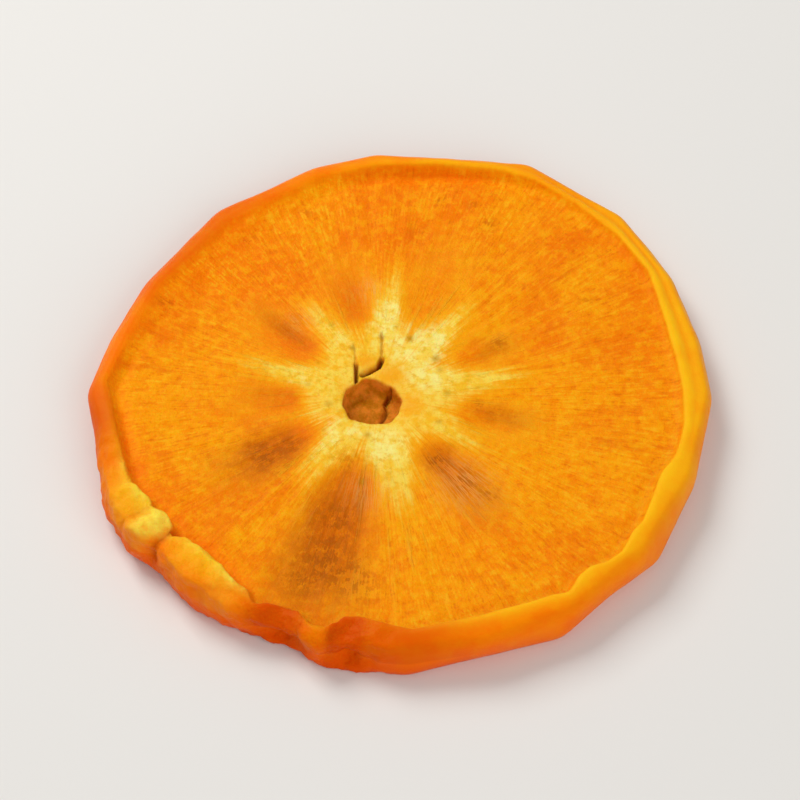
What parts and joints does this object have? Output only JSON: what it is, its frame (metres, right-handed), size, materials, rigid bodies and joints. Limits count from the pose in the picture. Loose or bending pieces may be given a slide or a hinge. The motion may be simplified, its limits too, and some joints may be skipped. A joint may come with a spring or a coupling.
{
  "type": "dried persimmon slice",
  "caption": "Round dried persimmon slice with a raised leathery rim, a pale star-shaped core and a small hollow at its centre; lies flat as food, garnish or table decoration.",
  "frame": {"origin": "centre of the slice's bounding box, on the plane it rests on", "axes": "+Z out of the upper cut face; the folded notch in the rim is at -Y"},
  "size_m": [0.0594, 0.0588, 0.0056],
  "materials": {
    "dried_flesh": "satin"
  },
  "bodies": {
    "root": {"persimmon_slice": "dried_flesh"}
  },
  "joints": []
}
